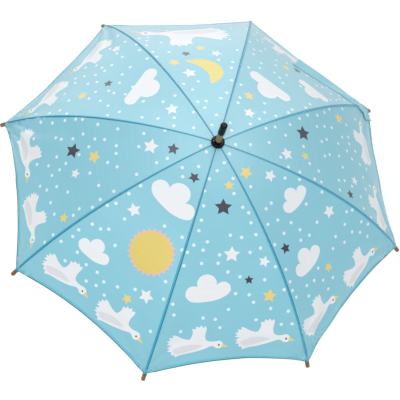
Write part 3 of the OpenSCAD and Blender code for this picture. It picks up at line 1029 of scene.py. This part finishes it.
# ---- the canopy, gore by gore ----
SIDES = {-1: "a", 1: "b"}
for k in range(1, RIBS + 1):
    motifs = PRINT[k]
    flat = triangulate(motifs + snow(k, motifs))
    for side in (-1, 1):
        rib = k if side < 0 else k % RIBS + 1
        for outer in (False, True):
            o, size = panel(f"canopy_{'out' if outer else 'in'}_{k}_{SIDES[side]}", k, side, outer, flat)
            fold_up(o)
            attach(o, f"spring_{rib}" if outer else f"arm_{rib}")
            if side < 0 and not outer:
                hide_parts(f"gore_{k}")
        hem = hem_piece(k, side)
        fold_up(hem)
        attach(hem, f"spring_{rib}")
    for outer in (False, True):
        seam = seam_piece(k, outer)
        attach(seam, f"spring_{k}" if outer else f"arm_{k}")
    tie = corner_piece(k)
    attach(tie, f"spring_{k}")


# ---- the band that ties the canopy ----
STRAP_WIDTH, STRAP_THICK = 29.0, 0.75
STRAP_ROWS, STRAP_COLUMNS = 64, 9
STRAP_V = 405.0  # where its upper edge crosses rib 2
STRAP_CLIMB = 45.0  # how far it climbs from there to its end on gore 2
STRAP_TAIL = 0.2  # how much of it lies beyond rib 2, for 1 on gore 2
STRAP_LOWEST = 474.0
STRAP_TAIL_LEN = 30.0
STRAP_SPAN = 1.1  # how far it runs across gore 2, for 1 from the rib to the middle line
STRAP_BILLOW, STRAP_FLAT = 8.0, 0.12  # its upper edge stands off the cloth, and less so by the rib
STRAP_THREAD = 0.22 * MM


def strap_on_gore(q, f):
    """u, v and height of the band's underside on gore 2: q from 0 at rib 2 to 1, f from 0 to 1 across it."""
    v = STRAP_V - STRAP_CLIMB * q + STRAP_WIDTH * f
    u = (-0.999 + STRAP_SPAN * q) * float(half_at(v))
    belly = STRAP_FLAT + (1 - STRAP_FLAT) * math.sin(share(q / 0.55) * math.pi / 2)
    rise = STRAP_BILLOW * f ** 1.25 * belly + 0.9 * math.sin(q * 9.0) * f * belly
    end = 1.7 * share((q - 0.8) / 0.2) ** 2
    over_seam = 0.9 * share(1 - q / 0.05)
    return u, v, 0.35 + end + rise + over_seam


def strap_over_rib(q, f):
    """The same on gore 1, where the loose end runs down along the hem: q is below 0."""
    e = -q / STRAP_TAIL * STRAP_TAIL_LEN
    v = min(STRAP_V + STRAP_WIDTH * f + 1.1 * e, STRAP_LOWEST)
    arch = 2.6 * math.sin(-q / STRAP_TAIL * math.pi * 0.8) * (0.5 + 0.5 * f)
    return float(half_at(v)) - e, v, 1.25 + arch


def strap_point(q, f, above):
    k, place = (2, strap_on_gore) if q >= 0 else (1, strap_over_rib)
    u, v, d = place(q, f)
    return cloth_point(k, np.array(u), np.array(v), d + above)


def strap_layer(above):
    """The band's points, row by row, above its underside."""
    rows = [-STRAP_TAIL + (1 + STRAP_TAIL) * i / STRAP_ROWS for i in range(STRAP_ROWS + 1)]
    columns = [j / STRAP_COLUMNS for j in range(STRAP_COLUMNS + 1)]
    return np.array([[strap_point(q, f, above) for f in columns] for q in rows])


def slab_faces(n, m):
    """Faces of a closed slab: a top and an underside of n by m squares, and the rim between them."""
    off = (n + 1) * (m + 1)
    row = m + 1
    faces = []
    for i in range(n):
        for j in range(m):
            a = i * row + j
            b, c, d = a + 1, a + row + 1, a + row
            faces += [(a, b, c, d), (a + off, d + off, c + off, b + off)]
    for i in range(n):
        a, b = i * row, i * row + m
        faces += [(a, a + row, a + row + off, a + off), (b, b + off, b + row + off, b + row)]
    for j in range(m):
        a, b = j, n * row + j
        faces += [(a, a + off, a + 1 + off, a + 1), (b, b + 1, b + 1 + off, b + off)]
    return faces


def strap_piece():
    b = Build()
    top, low = strap_layer(STRAP_THICK), strap_layer(0.0)
    faces = slab_faces(STRAP_ROWS, STRAP_COLUMNS)
    b.add(np.concatenate([top.reshape(-1, 3), low.reshape(-1, 3)]), faces, [0] * len(faces))
    up = np.array([0, 0, 1.0])
    for j in (1, STRAP_COLUMNS - 1):
        for i in range(STRAP_ROWS - 1):
            p, step = top[i, j], top[i + 1, j] - top[i, j]
            b.stitch(p + step * 0.15, p + step * 0.8, up, STRAP_THREAD)
    return b.object("strap_band", [M_STRAP, M_BAND])


strap = strap_piece()
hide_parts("strap")
fold_up(strap)
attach(strap, "spring_2")

# ---- floor, light, camera ----
FLOOR_Z = -0.78
FLOOR_HALF = 30
FLOOR_GLOW = 0.17
WORLD_LIGHT = 0.82
DOME_MIDDLE = (0, 0, 0.45)
LENS = 114.8
CAMERA_PLACE = (-0.0725, -1.162, 2.634)
CAMERA_FORWARD = (0.0306, 0.4424, -0.8963)
CAMERA_UP = (-0.3009, 0.8592, 0.4138)


def floor():
    m, t, b = material("floor")
    cloudy = noise(t, object_space(t), 2.0, 2.0)
    tone = ramp(t, cloudy, 0.3, scaled(PURE, 0.93), 0.7, scaled(PURE, 0.95))
    t.links.new(tone, b.inputs["Base Color"])
    b.inputs["Roughness"].default_value = 0.9
    b.inputs["Emission Color"].default_value = PURE
    b.inputs["Emission Strength"].default_value = FLOOR_GLOW
    corners = [(x * FLOOR_HALF, y * FLOOR_HALF, FLOOR_Z) for x, y in ((-1, -1), (1, -1), (1, 1), (-1, 1))]
    new_mesh("floor", corners, [(0, 1, 2, 3)], [m])


def studio_world():
    world = bpy.data.worlds.new("studio")
    bpy.context.scene.world = world
    world.use_nodes = True
    background = world.node_tree.nodes["Background"]
    background.inputs[0].default_value = PURE
    background.inputs[1].default_value = WORLD_LIGHT


def area_light(name, place, size, power, gloss_only=False):
    """A round light aimed at the middle of the dome. With gloss_only it is seen only as a shine."""
    d = bpy.data.lights.new(name, "AREA")
    d.shape = "DISK"
    d.size = size
    d.energy = power
    o = bpy.data.objects.new(name, d)
    o.location = place
    o.rotation_euler = (Vector(DOME_MIDDLE) - Vector(place)).to_track_quat("-Z", "Y").to_euler()
    o.visible_camera = False
    o.visible_diffuse = not gloss_only
    bpy.context.scene.collection.objects.link(o)


def camera():
    data = bpy.data.cameras.new("camera")
    data.sensor_width = 36.0
    data.lens = LENS
    data.clip_start = 0.05
    data.clip_end = 100.0
    cam = bpy.data.objects.new("camera", data)
    bpy.context.scene.collection.objects.link(cam)
    forward = Vector(CAMERA_FORWARD).normalized()
    right = forward.cross(Vector(CAMERA_UP)).normalized()
    upward = right.cross(forward)
    axes = zip(right, upward, -forward, CAMERA_PLACE)
    cam.matrix_world = Matrix([*axes, (0, 0, 0, 1)])
    bpy.context.scene.camera = cam


floor()
studio_world()
area_light("key", (-0.3, -1.6, 3.2), 1.2, 36.0)
# two broad soft panels behind: a low one that shines on cloth that leans away, a high one round the crown
area_light("low_panel", (-1.0, 2.85, 1.25), 5.0, 175.0, gloss_only=True)
area_light("high_panel", (-0.1, 1.5, 2.8), 2.4, 58.0, gloss_only=True)
camera()
bpy.context.scene.view_settings.view_transform = "Standard"
